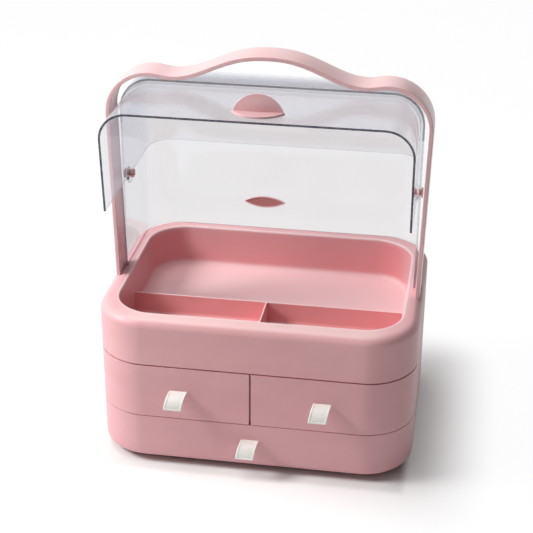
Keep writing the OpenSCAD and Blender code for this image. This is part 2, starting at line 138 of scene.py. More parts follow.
class Sock:
    """A shader socket that takes part in Python arithmetic."""

    def __init__(self, fin, out):
        self.fin = fin
        self.out = out

    def _math(self, op, *args):
        return self.fin.node("ShaderNodeMath", {"operation": op}, args)

    def __add__(self, o):
        return self._math("ADD", self, o)

    def __radd__(self, o):
        return self._math("ADD", o, self)

    def __sub__(self, o):
        return self._math("SUBTRACT", self, o)

    def __rsub__(self, o):
        return self._math("SUBTRACT", o, self)

    def __mul__(self, o):
        return self._math("MULTIPLY", self, o)

    def __rmul__(self, o):
        return self._math("MULTIPLY", o, self)

    def __truediv__(self, o):
        return self._math("DIVIDE", self, o)

    def __pow__(self, o):
        return self._math("POWER", self, o)

    def __abs__(self):
        return self._math("ABSOLUTE", self)

    def max(self, o):
        return self._math("MAXIMUM", self, o)

    def ramp(self, low, high):
        """0 below low and 1 above high, smooth in between."""
        return self.fin.node("ShaderNodeMapRange", {"interpolation_type": "SMOOTHSTEP"},
                             {"Value": self, "From Min": low, "From Max": high})


class Graph:
    """A node tree that is built by method calls."""

    coords = "Object"

    def __init__(self, tree):
        self.tree = tree

    def node(self, kind, settings, inputs, out=0):
        """Adds a node: its settings, the values or links of its sockets, and the output that is wanted."""
        n = self.tree.nodes.new(kind)
        for key, value in settings.items():
            setattr(n, key, value)
        pairs = inputs.items() if isinstance(inputs, dict) else enumerate(inputs)
        for key, value in pairs:
            if isinstance(value, Sock):
                self.tree.links.new(value.out, n.inputs[key])
            else:
                n.inputs[key].default_value = value
        return Sock(self, n.outputs[out])

    def place(self, scale=(1, 1, 1)):
        """Where a point lies, stretched along each axis."""
        coords = self.node("ShaderNodeTexCoord", {}, [], self.coords)
        return self.node("ShaderNodeMapping", {"vector_type": "POINT"}, {"Vector": coords, "Scale": scale})

    def xyz(self):
        split = self.node("ShaderNodeSeparateXYZ", {}, [self.place()]).out.node
        return [Sock(self, split.outputs[i]) for i in range(3)]

    def noise(self, scale, detail, rough, coords=None):
        return self.node("ShaderNodeTexNoise", {}, {
            "Vector": coords or self.place(), "Scale": scale, "Detail": detail, "Roughness": rough})

    def mix(self, factor, a, b):
        return self.node("ShaderNodeMix", {"data_type": "RGBA"}, {0: factor, 6: a, 7: b}, 2)

    def ray_is(self, *kinds):
        """1 for rays of these kinds, 0 for the others."""
        outputs = self.node("ShaderNodeLightPath", {}, []).out.node.outputs
        total = Sock(self, outputs["Is " + kinds[0] + " Ray"])
        for kind in kinds[1:]:
            total = total.max(Sock(self, outputs["Is " + kind + " Ray"]))
        return total


class Finish(Graph):
    """A node material with one Principled shader."""

    def __init__(self, name, **constants):
        self.mat = bpy.data.materials.new(name)
        self.mat.use_nodes = True
        super().__init__(self.mat.node_tree)
        self.shader = self.tree.nodes["Principled BSDF"]
        for key, value in constants.items():
            self.shader.inputs[key.replace("_", " ")].default_value = value

    def feed(self, name, value):
        self.tree.links.new(value.out, self.shader.inputs[name])

    def bump(self, height, strength, distance):
        self.feed("Normal", self.node("ShaderNodeBump", {}, {
            "Strength": strength, "Distance": distance, "Height": height}))


def rgb(r, g, b):
    """Linear colour of a display colour given in 0 to 255."""
    def lin(c):
        c /= 255
        return c / 12.92 if c <= 0.04045 else ((c + 0.055) / 1.055) ** 2.4
    return (lin(r), lin(g), lin(b), 1)


def shade(colour, factors):
    """A colour with its red, green and blue each multiplied."""
    return tuple(min(c * f, 1) for c, f in zip(colour, factors)) + (1,)


# ---------- finishes ----------

def satin_plastic(name, colour, rough=0.40, grain=1.0, painted_light=None, **constants):
    """Moulded plastic: spark-eroded grain, faint flow marks, patches left paler by hands, a dust of rubs.

    painted_light(fin, colour, base) paints light and shade into the base colour: paler places where light
    falls, deeper ones in shade.
    """
    fin = Finish(name, IOR=1.47, **constants)
    flow = fin.noise(7, 3, 0.55, fin.place((1, 1, 2.4)))
    patch = fin.noise(38, 3, 0.6)
    grainy = fin.noise(2400, 2, 0.55)
    rubs = fin.noise(320, 4, 0.7, fin.place((0.25, 1, 1))).ramp(0.62, 0.78)
    thick, thin = shade(colour, (0.955, 0.925, 0.925)), shade(colour, (1.03, 1.04, 1.04))
    base = fin.mix(flow.ramp(0.32, 0.68), thick, thin)
    base = fin.mix(patch.ramp(0.45, 0.75) * 0.25, base, shade(colour, (1.05, 1.10, 1.10)))
    base = fin.mix(grainy.ramp(0.35, 0.65) * 0.16, base, shade(colour, (0.90, 0.86, 0.86)))
    if painted_light:
        base = painted_light(fin, colour, base)
    fin.feed("Base Color", base)
    fin.feed("Roughness", rough + (patch - 0.5) * 0.12 + (grainy - 0.5) * 0.08 - rubs * 0.05)
    fin.bump(grainy * 0.8 + patch * 0.5, 0.16 * grain, 0.0003)
    return fin.mat


def brim_highlight_mask(x, y, z):
    """1 on the crisp edge where the rim turns down into the well, where a highlight is painted."""
    over_x = (abs(x) - (WELL_HALF_X - WELL_R)).max(0.0)
    over_y = (abs(y - WELL_Y) - (WELL_HALF_Y - WELL_R)).max(0.0)
    out = (over_x ** 2 + over_y ** 2) ** 0.5 - WELL_R
    on_edge = abs(out - BRIM_R * 0.6).ramp(BRIM_R * 1.5, BRIM_R * 0.8)
    return on_edge * z.ramp(RIM_Z - 0.003, RIM_Z - 0.001)


def tray_painted_light(fin, colour, base):
    """Painted light and shade in the tray: painted shade deepening the well's walls, a painted lighter floor
    and rim top, most of all in front, and a painted highlight on the brim.
    """
    x, y, z = fin.xyz()
    along_y = abs(y - WELL_Y).ramp(WELL_HALF_Y + 0.002, WELL_HALF_Y - 0.003)
    in_well = abs(x).ramp(WELL_HALF_X + 0.002, WELL_HALF_X - 0.003) * along_y
    # painted shade: the well's walls go deeper and redder, all but the lit right wall
    walls = in_well * z.ramp(FLOOR_Z, FLOOR_Z + 0.008) * z.ramp(RIM_Z - 0.001, RIM_Z - 0.007)
    walls = walls * x.ramp(WELL_HALF_X - 0.002, WELL_HALF_X - 0.016)
    base = fin.mix(walls, base, shade(colour, (0.98, 0.72, 0.72)))
    # painted light: the well's floor is made paler, as the brightly lit floor
    floor = in_well * z.ramp(FLOOR_Z + 0.005, FLOOR_Z)
    base = fin.mix(floor, base, shade(colour, (1.10, 1.36, 1.33)))
    # painted light: the rim's flat top is made paler, fully across the front and a little elsewhere
    rim_lit_front = y.ramp(-0.066, -0.086) * abs(x).ramp(WELL_HALF_X, WELL_HALF_X - 0.030) * 0.85 + 0.15
    top = z.ramp(RIM_Z - 0.003, RIM_Z - 0.0003)
    base = fin.mix(rim_lit_front * top, base, shade(colour, (1.07, 1.33, 1.26)))
    # painted highlight along the brim
    return fin.mix(brim_highlight_mask(x, y, z) * 0.5, base, shade(colour, (1.20, 1.90, 1.85)))


def divider_painted_light(fin, colour, base):
    """Painted highlight along the top edges, where light catches them."""
    top = FLOOR_Z + DIVIDER_H
    top_edge_highlight = fin.xyz()[2].ramp(top - 0.0007, top - 0.0002)
    return fin.mix(top_edge_highlight, base, shade(colour, (1.16, 2.0, 2.0)))


def clear_plastic(name, tint, dense):
    """Clear polished plastic: a thin grey body, mirror-like at a slant, with dust and fine hairlines."""
    fin = Finish(name, IOR=1.49)
    facing = fin.node("ShaderNodeLayerWeight", {}, {"Blend": 0.5}, "Facing")
    dust = fin.noise(900, 3, 0.7).ramp(0.66, 0.80)
    haze = fin.noise(14, 3, 0.6).ramp(0.35, 0.75)
    hair = fin.noise(120, 3, 0.7, fin.place((0.08, 1.4, 1.0))).ramp(0.63, 0.70)
    gloss = 0.04 + 0.75 * facing ** 5
    body = dense + haze * 0.012 + dust * 0.02 + hair * 0.012
    share = gloss / (gloss + body)
    fin.feed("Base Color", fin.mix(share, tint, (0.84, 0.87, 0.93, 1)))
    fin.feed("Metallic", share)
    fin.feed("Roughness", 0.04 + haze * 0.04 + dust * 0.2)
    fin.feed("Alpha", (body + gloss * (1 - body)) * (1 - fin.ray_is("Shadow") * 0.7))
    return fin.mat


def edge_shade_plastic(name, tint, alpha):
    """The cut edge of a clear sheet, painted a dense blue-grey: painted shade for the dark line that light
    bent in the edge gives.
    """
    fin = Finish(name, IOR=1.49)
    streak = fin.noise(160, 2, 0.5).ramp(0.3, 0.7)
    fin.feed("Base Color", fin.mix(streak, tint, shade(tint, (1.5, 1.5, 1.45))))
    fin.feed("Roughness", 0.12 + streak * 0.1)
    fin.feed("Alpha", (alpha + streak * 0.1) * (1 - fin.ray_is("Shadow") * 0.5))
    return fin.mat


def soft_strip(name, colour):
    """Soft ivory strip: pebbled grain over slightly greyer patches."""
    fin = Finish(name, IOR=1.45)
    cells = fin.node("ShaderNodeTexVoronoi", {"feature": "F1"}, {"Vector": fin.place(), "Scale": 1500.0})
    soft = fin.noise(260, 3, 0.6)
    wide = fin.noise(60, 2, 0.5)
    base = fin.mix(wide.ramp(0.35, 0.7), shade(colour, (0.96, 0.96, 0.95)), colour)
    fin.feed("Base Color", fin.mix(cells.ramp(0.1, 0.7) * 0.2, base, shade(colour, (0.88, 0.88, 0.86))))
    fin.feed("Roughness", 0.52 + (soft - 0.5) * 0.2)
    fin.bump(cells * -0.6 + soft * 0.5, 0.22, 0.00025)
    return fin.mat


def plated_steel(name):
    """Bright plating with turning marks and dull spots."""
    fin = Finish(name, Metallic=1.0, IOR=2.0)
    turned = fin.noise(500, 3, 0.6, fin.place((1, 1, 6)))
    spots = fin.noise(90, 3, 0.6)
    fin.feed("Base Color", fin.mix(spots.ramp(0.4, 0.7), (0.50, 0.50, 0.52, 1), (0.64, 0.64, 0.66, 1)))
    fin.feed("Roughness", 0.24 + (turned - 0.5) * 0.2 + spots * 0.1)
    fin.bump(turned, 0.1, 0.0002)
    return fin.mat


def soft_rubber(name, colour):
    """Matt rubber, dusty in patches."""
    fin = Finish(name, IOR=1.5)
    grainy = fin.noise(900, 3, 0.6)
    dusty = fin.noise(120, 3, 0.6)
    fin.feed("Base Color", fin.mix(dusty.ramp(0.45, 0.75) * 0.5, colour, shade(colour, (1.5, 1.5, 1.5))))
    fin.feed("Roughness", 0.68 + (grainy - 0.5) * 0.2)
    fin.bump(grainy, 0.25, 0.0003)
    return fin.mat


PINK = satin_plastic("satin_pink", rgb(231, 175, 179))
TRAY_PINK = satin_plastic("tray_pink", rgb(233, 177, 180), 0.42, painted_light=tray_painted_light)
# the dividers' deeper, redder pink is painted shade, for the shade down in the well
SHADED_DIVIDER_PINK = satin_plastic("shaded_divider_pink", rgb(232, 156, 157), 0.42, painted_light=divider_painted_light)
STRAP_PINK = satin_plastic("strap_pink", rgb(232, 188, 189), 0.34, Coat_Weight=0.55, Coat_Roughness=0.28)
TRIM_PINK = satin_plastic("trim_pink", rgb(236, 190, 192), 0.34, 0.6)
PLATE_PINK = satin_plastic("plate_pink", rgb(200, 142, 138), 0.36, 0.6)
FOOT_PINK = satin_plastic("foot_pink", rgb(214, 172, 174), 0.36, 0.6)
# the plinth's and ribs' darker pink is painted shade, for the shade under the case
SHADED_BASE_PINK = satin_plastic("base_pink", rgb(176, 122, 122), 0.5)
CLEAR = clear_plastic("clear_shell", rgb(140, 141, 164), 0.10)
CLEAR_LID = clear_plastic("clear_lid", rgb(146, 148, 180), 0.045)
# painted shade on the clear sheets' cut edges: dense on the lid, less on the shell, faint where edges are
# hardly seen
CLEAR_EDGE_SHADE = edge_shade_plastic("clear_edge_shade", rgb(46, 40, 62), 0.88)
SHELL_EDGE_SHADE = edge_shade_plastic("shell_edge_shade", rgb(70, 64, 76), 0.62)
SOFT_EDGE_SHADE = edge_shade_plastic("soft_edge_shade", rgb(120, 120, 136), 0.25)
IVORY = soft_strip("ivory_strip", rgb(254, 253, 249))
IVORY_FIELD = soft_strip("ivory_field", rgb(247, 245, 239))
STEEL = plated_steel("plated_steel")
RUBBER = soft_rubber("foot_rubber", rgb(92, 84, 82))


def screws_and_washers():
    """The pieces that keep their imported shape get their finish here."""
    for name, obj in frame["nodes"].items():
        if name.endswith("screws") or name.endswith("washer"):
            obj.data.materials.clear()
            obj.data.materials.append(STEEL if name.endswith("screws") else IVORY)


# ---------- mesh tools ----------

class Outline:
    """A rounded rectangle, kept as the centres of its corners and their radius."""

    def __init__(self, x0, x1, y0, y1, r):
        self.lo = (x0 + r, y0 + r)
        self.hi = (x1 - r, y1 - r)
        self.r = r

    def point(self, corner, way, inset, z):
        """A point of the outline, drawn in by inset: the corner's signs, and the way from its centre."""
        x = (self.hi if corner.x > 0 else self.lo)[0] + way.x * (self.r - inset)
        y = (self.hi if corner.y > 0 else self.lo)[1] + way.y * (self.r - inset)
        return Vector((x, y, z))


BODY = Outline(-BODY_HALF, BODY_HALF, FRONT_Y, BACK_Y, CORNER_R)
WELL = Outline(-WELL_HALF_X, WELL_HALF_X, WELL_Y - WELL_HALF_Y, WELL_Y + WELL_HALF_Y, WELL_R)
SHELL = Outline(-SHELL_HALF, SHELL_HALF, HINGE.y - SHELL_R, HINGE.y + SHELL_R, SHELL_ROUND)


def new_mesh():
    """A mesh whose points can remember their corner of an outline and their way from its centre."""
    bm = bmesh.new()
    bm.verts.layers.float_vector.new("corner")
    bm.verts.layers.float_vector.new("way")
    return bm


def sweep(bm, stations, n=12, cap=True):
    """Stacks rings of rounded rectangles; each station is (outline, inset, z)."""
    corner = bm.verts.layers.float_vector["corner"]
    way = bm.verts.layers.float_vector["way"]
    grid = bmesh.ops.create_grid(bm, x_segments=1, y_segments=1, size=1)
    bmesh.ops.bevel(bm, geom=grid["verts"], affect="VERTICES", offset=0.5, offset_type="OFFSET",
                    segments=n, profile=0.5, material=-1)
    ring = [v for v in bm.verts if v[corner].length == 0]
    face = next(f for f in ring[0].link_faces)
    for v in ring:
        sx, sy = math.copysign(1, v.co.x), math.copysign(1, v.co.y)
        v[corner] = (sx, sy, 1)
        v[way] = Vector((v.co.x - sx * 0.5, v.co.y - sy * 0.5, 0)).normalized()
    edges = list(face.edges)
    for i, (outline, inset, z) in enumerate(stations):
        if i:
            made = bmesh.ops.extrude_edge_only(bm, edges=edges)["geom"]
            ring = [g for g in made if isinstance(g, bmesh.types.BMVert)]
            inside = set(ring)
            edges = [g for g in made if isinstance(g, bmesh.types.BMEdge) and inside.issuperset(g.verts)]
        for v in ring:
            v.co = outline.point(v[corner], v[way], inset, z)
    if cap:
        bmesh.ops.contextual_create(bm, geom=edges)
    else:
        bmesh.ops.delete(bm, geom=[face], context="FACES_ONLY")


def fillet(outline, inset, z, r, kind, n=5):
    """Stations of a quarter round, going up: kind is low or high, for a lower or an upper edge."""
    out = []
    for i in range(n + 1):
        a = math.pi / 2 * i / n
        s, c = 1 - math.sin(a), 1 - math.cos(a)
        if kind == "low":
            out.append((outline, inset + r * s, z + r * c))
        else:
            out.append((outline, inset + r * c, z - r * s))
    return out


def split(bm, point, normal, clear=False, dist=1e-6):
    """Cuts every face along a plane and gives what lies in it; clear drops the normal's side."""
    geom = bm.verts[:] + bm.edges[:] + bm.faces[:]
    return bmesh.ops.bisect_plane(bm, geom=geom, plane_co=point, plane_no=normal, clear_outer=clear,
                                  dist=dist)["geom_cut"]


def slice_off(bm, point, normal, fill=True):
    """Takes off what lies on the normal's side of a plane, and closes the cut if fill says so."""
    cut = split(bm, point, normal, clear=True)
    if fill:
        bmesh.ops.edgenet_fill(bm, edges=[g for g in cut if isinstance(g, bmesh.types.BMEdge)])


def grow(bm, face, way):
    """Extrudes a face by a vector and gives the new face; the old one stays only if it was alone."""
    alone = all(edge.is_boundary for edge in face.edges)
    made = bmesh.ops.extrude_face_region(bm, geom=[face])["geom"]
    bmesh.ops.translate(bm, vec=way, verts=[g for g in made if isinstance(g, bmesh.types.BMVert)])
    if not alone:
        bmesh.ops.delete(bm, geom=[face], context="FACES_ONLY")
    return next(g for g in made if isinstance(g, bmesh.types.BMFace))


def turn_by(bm, angle, axis, centre=(0, 0, 0), verts=None):
    bmesh.ops.rotate(bm, matrix=Matrix.Rotation(angle, 3, axis), verts=verts or bm.verts, cent=centre)


def move_by(bm, way):
    bmesh.ops.translate(bm, vec=way, verts=bm.verts)


def lathe(bm, points, axis, steps):
    """Turns an open outline all the way round an axis through the origin."""
    verts = [bm.verts.new(point) for point in points]
    edges = [bm.edges.new(pair) for pair in zip(verts, verts[1:])]
    bmesh.ops.spin(bm, geom=edges + verts, cent=(0, 0, 0), axis=axis, angle=math.tau, steps=steps,
                   use_merge=True)
    bmesh.ops.remove_doubles(bm, verts=bm.verts, dist=1e-6)


def slab(bm, x0, x1, y0, y1, z0, z1):
    verts = bmesh.ops.create_cube(bm, size=1)["verts"]
    bmesh.ops.scale(bm, vec=(x1 - x0, y1 - y0, z1 - z0), verts=verts)
    bmesh.ops.translate(bm, vec=((x0 + x1) / 2, (y0 + y1) / 2, (z0 + z1) / 2), verts=verts)


def in_scene(name, data):
    """Puts an object with this data into the scene."""
    obj = bpy.data.objects.new(name, data)
    bpy.context.scene.collection.objects.link(obj)
    return obj


def as_object(bm, name):
    """Puts a mesh into the scene as it is."""
    mesh = bpy.data.meshes.new(name)
    bm.to_mesh(mesh)
    bm.free()
    return in_scene(name, mesh)


def closed_object(bm, name):
    """Puts a closed mesh into the scene, its faces pointing outwards."""
    bmesh.ops.recalc_face_normals(bm, faces=bm.faces)
    return as_object(bm, name)


def block(outline, z0, z1, inset=0.0, low_r=0.0, high_r=0.0, limits=()):
    """A closed solid over an outline, its edges rounded, cut by planes (point, normal)."""
    bm = new_mesh()
    low = fillet(outline, inset, z0, low_r, "low") if low_r else [(outline, inset, z0)]
    high = fillet(outline, inset, z1, high_r, "high") if high_r else [(outline, inset, z1)]
    sweep(bm, low + high)
    for point, normal in limits:
        slice_off(bm, point, normal)
    return closed_object(bm, "block")


def box(x0, x1, y0, y1, z0, z1):
    bm = new_mesh()
    slab(bm, x0, x1, y0, y1, z0, z1)
    return closed_object(bm, "box")


def post(x, y, z0, z1, r):
    """An upright round bar."""
    bm = new_mesh()
    bmesh.ops.create_cone(bm, cap_ends=True, segments=48, radius1=r, radius2=r, depth=z1 - z0)
    move_by(bm, (x, y, (z0 + z1) / 2))
    return closed_object(bm, "post")


def combine(obj, tools, how):
    """Joins, cuts or intersects obj with closed solids, and uses the solids up."""
    for tool in tools:
        mod = obj.modifiers.new(how, "BOOLEAN")
        mod.operation = how
        mod.solver = "EXACT"
        mod.object = tool
    settle(obj)
    for tool in tools:
        bpy.data.objects.remove(tool)
    return obj


def settle(obj):
    """Makes what the modifiers give the object's own mesh."""
    graph = bpy.context.evaluated_depsgraph_get()
    mesh = bpy.data.meshes.new_from_object(obj.evaluated_get(graph))
    obj.modifiers.clear()
    obj.data = mesh


def smooth_over(obj, angle=0.3):
    """Merges doubles and drops the edges between faces that lie flat to each other, in degrees."""
    bm = bmesh.new()
    bm.from_mesh(obj.data)
    bmesh.ops.remove_doubles(bm, verts=bm.verts, dist=2e-6)
    bmesh.ops.dissolve_limit(bm, angle_limit=math.radians(angle), verts=bm.verts, edges=bm.edges)
    bmesh.ops.recalc_face_normals(bm, faces=bm.faces)
    bm.to_mesh(obj.data)
    bm.free()


def piece(obj, name, body, mats, nodes, edge=0.0, segments=2):
    """Names, finishes and places a piece; edge is the width of its softened edges."""
    obj.name = name
    obj.data.name = name
    for mat in mats[len(obj.data.materials):]:
        obj.data.materials.append(mat)
    if edge:
        bevel = obj.modifiers.new("soft edges", "BEVEL")
        bevel.width = edge
        bevel.segments = segments
        bevel.limit_method = "ANGLE"
        bevel.angle_limit = math.radians(32)
        bevel.miter_outer = "MITER_ARC"
        settle(obj)
    obj.data.polygons.foreach_set("use_smooth", [True] * len(obj.data.polygons))
    obj.data.set_sharp_from_angle(angle=math.radians(40))
    weighted = obj.modifiers.new("flat faces lead", "WEIGHTED_NORMAL")
    weighted.weight = 80
    weighted.keep_sharp = True
    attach(obj, body)
    if nodes:
        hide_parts(*nodes)


# ---------- frames and base ----------

# Planes that limit a block: each keeps what lies on the side that it names
def behind(y):
    return ((0, y, 0), (0, -1, 0))


def before(y):
    return ((0, y, 0), (0, 1, 0))


def left_of(x):
    return ((x, 0, 0), (1, 0, 0))


def right_of(x):
    return ((x, 0, 0), (-1, 0, 0))


def lower_frame():
    """The frame behind the lower drawer, its floor drawn forward under the drawer's front."""
    lap = 0.001
    obj = block(BODY, BODY_Z, MIDDLE_Z, low_r=LOW_R, limits=[behind(FRONT_END)])
    inside = block(BODY, BODY_Z + WALL, MIDDLE_Z + PAST, WALL, LOW_R - WALL,
                   limits=[behind(FRONT_END - PAST)])
    combine(obj, [inside], "DIFFERENCE")
    tongue = block(BODY, BODY_Z, BODY_Z + WALL, BASE_INSET, limits=[before(FRONT_END + lap)])
    combine(obj, [tongue], "UNION")
    smooth_over(obj)
    piece(obj, "lower_frame_moulding", "case", [PINK], ["lower_frame"], 0.0005)


def middle_frame():
    """The frame behind the upper drawers, with the deck and the wall that part them."""
    set_back, lap, under_tray = 0.004, 0.001, 0.0005
    obj = block(BODY, MIDDLE_Z, TRAY_Z, limits=[behind(FRONT_END)])
    inside = block(BODY, MIDDLE_Z + WALL, TRAY_Z + PAST, WALL, limits=[behind(FRONT_END - PAST)])
    combine(obj, [inside], "DIFFERENCE")
    deck = block(BODY, MIDDLE_Z, MIDDLE_Z + WALL, set_back, limits=[before(FRONT_END + lap)])
    partition = box(-WALL / 2, WALL / 2, FRONT_Y + set_back, BACK_Y - WALL / 2,
                    MIDDLE_Z + WALL / 2, TRAY_Z - under_tray)
    combine(obj, [deck, partition], "UNION")
    smooth_over(obj)
    piece(obj, "middle_frame_moulding", "case", [PINK], ["middle_frame"], 0.0005)


def base_plate():
    """Plinth with a wide shallow recess under it, four sunk screw holes and a lattice of ribs."""
    margin, roof_z = 0.020, 0.0042
    screw_xs, screw_y, hole_r, hole_z = (-0.110, -0.040, 0.040, 0.110), 0.1081, 0.003, 0.0046
    obj = block(BODY, FOOT_H, BODY_Z, BASE_INSET)
    recess = block(BODY, 0.0, roof_z, BASE_INSET + margin)
    holes = [post(x, screw_y, 0, hole_z, hole_r) for x in screw_xs]
    combine(obj, [recess] + holes, "DIFFERENCE")
    smooth_over(obj)
    piece(obj, "base_plate_moulding", "case", [SHADED_BASE_PINK], ["base_plate"], 0.0006)

    rib_xs, rib_ys, half_rib = (-0.08, -0.04, 0.0, 0.04, 0.08), (-0.045, 0.008, 0.061), 0.0009
    from_side, lap = 0.031, 0.0001
    low, high, reach = FOOT_H + lap, roof_z + lap, BODY_HALF - from_side
    bm = new_mesh()
    for x in rib_xs:
        slab(bm, x - half_rib, x + half_rib, FRONT_Y + from_side, BACK_Y - from_side, low, high)
    for y in rib_ys:
        slab(bm, -reach, reach, y - half_rib, y + half_rib, low, high)
    piece(closed_object(bm, "ribs"), "base_ribs", "case", [SHADED_BASE_PINK], [], 0.0003)


def feet():
    """Rubber feet: a dished disc with a rounded edge."""
    dish_z, dish, rim = 0.0006, 0.0055, [(0.0062, 0.0), (0.0074, 0.0)]
    outline = [(0.0, dish_z), (dish, dish_z)] + rim + [(0.0080, 0.0004), (0.0090, FOOT_H)]
    for name in ("foot_front_left", "foot_front_right", "foot_rear_left", "foot_rear_right"):
        low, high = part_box(name)
        middle = (low + high) / 2
        bm = new_mesh()
        lathe(bm, [(r, 0, z) for r, z in outline], (0, 0, 1), 48)
        bmesh.ops.holes_fill(bm, edges=[e for e in bm.edges if e.is_boundary])
        move_by(bm, (middle.x, middle.y, 0))
        piece(closed_object(bm, name), name + "_pad", "case", [RUBBER], [name])


# ---------- tray ----------

def quarter(steps):
    """Sine and cosine at even steps over a quarter turn, past its start."""
    turns = [math.pi / 2 * i / steps for i in range(1, steps + 1)]
    return [(math.sin(a), math.cos(a)) for a in turns]


def tray_profile():
    """Stations from under the well's floor, down the inside of the skirt, up its outside and over the
    rim, and down into the well."""
    under_z, rim_under_z, shoulder_z = FLOOR_Z - WALL, RIM_Z - 0.005, RIM_Z - 0.007
    inside = [(WELL, 0.005, under_z), (WELL, -WALL, under_z), (WELL, -WALL, rim_under_z),
              (BODY, 0.0028, rim_under_z), (BODY, WALL, shoulder_z), (BODY, WALL, TRAY_Z)]
    seam_z = TRAY_Z + SEAM
    lower_edge = [(BODY, 0.0010, TRAY_Z), (BODY, 0.0008, seam_z - 0.0001), (BODY, 0.0004, seam_z),
                  (BODY, 0.0001, seam_z + 0.0002), (BODY, 0.0, seam_z + 0.0007)]
    outer_edge = fillet(BODY, 0.0, RIM_Z - 0.0003, 0.0085, "high", 9) + [(BODY, 0.0110, RIM_Z)]
    brim_z = RIM_Z - 0.0001
    brim = [(WELL, -BRIM_R, brim_z)]
    brim += [(WELL, -BRIM_R * (1 - sin), brim_z - BRIM_R * (1 - cos)) for sin, cos in quarter(6)]
    foot_in, foot_w, foot_h = 0.0012, 0.0060, 0.0062
    wall = [(WELL, 0.0002, RIM_Z - 0.008), (WELL, foot_in, FLOOR_Z + foot_h)]
    foot = [(WELL, foot_in + foot_w * (1 - cos), FLOOR_Z + foot_h * (1 - sin)) for sin, cos in quarter(8)]
    return inside + lower_edge + outer_edge + brim + wall + foot


def strap_sockets():
    """Closed solids that cut the sockets of the strap's feet into the rim."""
    half_x, half_y, depth = STRAP_T / 2 + STRAP_SLACK, STRAP_W / 2 + STRAP_SLACK, 0.010
    out = []
    for side in (-1, 1):
        x = side * (STRAP_HALF - STRAP_T / 2)
        out.append(box(x - half_x, x + half_x, STRAP_Y - half_y, STRAP_Y + half_y,
                       RIM_Z - depth, RIM_Z + PAST))
    return out


def shell_groove():
    """Closed solid that cuts the groove in the rim that the rear shell stands in."""
    depth, slack = 0.0012, 0.0002
    ring = block(SHELL, RIM_Z - depth, RIM_Z + PAST, -slack, limits=[behind(SHELL_FRONT - 2 * slack)])
    core = block(SHELL, RIM_Z - depth - PAST, RIM_Z + 2 * PAST, CLEAR_T + slack,
                 limits=[behind(SHELL_FRONT - PAST)])
    return combine(ring, [core], "DIFFERENCE")


def top_tray():
    """Rim, well and skirt in one skin, with the sockets of the strap and the groove of the shell."""
    bm = new_mesh()
    sweep(bm, tray_profile(), n=20)
    skin = closed_object(bm, "skin")
    combine(skin, strap_sockets() + [shell_groove()], "DIFFERENCE")
    smooth_over(skin, 0.2)
    piece(skin, "top_tray_moulding", "case", [TRAY_PINK], ["top_tray"])


def divider(name, length, place, angle):
    """A thin upright wall with a rounded top and a flared foot, along X before it is turned."""
    foot = [(0.0030, -0.0004), (0.0026, 0.0003), (0.0017, 0.0009), (0.0012, 0.0018), (0.00105, 0.0035)]
    top = [(0.00085, DIVIDER_H - 0.0009), (0.0007, DIVIDER_H - 0.0003), (0.0004, DIVIDER_H)]
    half = foot + top
    bm = new_mesh()
    ring = [bm.verts.new((-length / 2, y, z)) for y, z in half]
    ring += [bm.verts.new((-length / 2, -y, z)) for y, z in reversed(half)]
    grow(bm, bm.faces.new(ring), (length, 0, 0))
    turn_by(bm, angle, "Z")
    move_by(bm, place)
    piece(closed_object(bm, name), name, "case", [SHADED_DIVIDER_PINK], [])


def dividers():
    """The cross divider from wall to wall, and the centre divider from it to the front wall."""
    from_wall, centre_length = 0.0027, 0.0780
    cross_length = 2 * (WELL_HALF_X - from_wall)
    divider("cross_divider", cross_length, (0, DIVIDER_Y, FLOOR_Z), 0)
    divider("centre_divider", centre_length, (0, DIVIDER_Y - centre_length / 2, FLOOR_Z), math.pi / 2)


# ---------- drawers ----------

def drawer_moulding(name, side, z0, z1, low_r, room, tub_z):
    """A front that wraps the corners, with a tub behind it.

    side is -1 left, 1 right, 0 both; room is how far the frame's floor reaches in under the front.
    """

    def limits(x, back_y):
        out = [before(back_y)]
        if side > 0:
            out.append(right_of(x))
        if side < 0:
            out.append(left_of(-x))
        return out

    inset = WALL + TUB_GAP
    front_back = FRONT_END - SEAM
    obj = block(BODY, z0, z1, 0, low_r, limits=limits(UPPER_IN, front_back))
    tub = block(BODY, tub_z, z1 - TUB_LIP, inset, max(low_r - inset, 0), limits=limits(UPPER_IN, TUB_BACK))
    joined = [tub]
    if side:
        joined.append(block(BODY, z0, z1, 0, low_r, limits=limits(HALF_FRONT_GAP, FRONT_Y + FRONT_T)))
    combine(obj, joined, "UNION")
    front_r, tub_r = 0.004, 0.003
    inside_x, floor_z, above = UPPER_IN + TUB_T, tub_z + TUB_T, z1 + PAST
    under_front = block(BODY, z0 - PAST, tub_z, room)
    in_front = block(BODY, floor_z, above, FRONT_T, front_r, limits=limits(inside_x, front_back - TUB_T))
    in_tub = block(BODY, floor_z, above, inset + TUB_T, tub_r, limits=limits(inside_x, TUB_BACK - TUB_T))
    combine(obj, [under_front, in_front, in_tub], "DIFFERENCE")
    smooth_over(obj)
    piece(obj, name + "_moulding", name, [PINK], [name], 0.0006, 3)


def drawers():
    """The wide lower drawer over the lower frame's floor, and two half ones side by side."""
    above_floor, floor_room = WALL + TUB_GAP, BASE_INSET - 0.001
    drawer_moulding("lower_drawer", 0, BODY_Z, MIDDLE_Z - SEAM, LOW_R, floor_room, BODY_Z + above_floor)
    for name, side in (("upper_left_drawer", -1), ("upper_right_drawer", 1)):
        drawer_moulding(name, side, MIDDLE_Z, TRAY_Z - SEAM, 0.0, FRONT_T, MIDDLE_Z + above_floor)


# ---------- pull tabs ----------

def tab_section(x, y, z):
    """Points of the strip's cross section, its long corners taken off."""
    up, out, cut = TAB_T / 2, TAB_W / 2, 0.0004
    corners = [(-up + cut, -out), (up - cut, -out), (up, -out + cut), (up, out - cut),
               (up - cut, out), (-up + cut, out), (-up, out - cut), (-up, -out + cut)]
    return [(x + u, y, z + v) for v, u in corners]


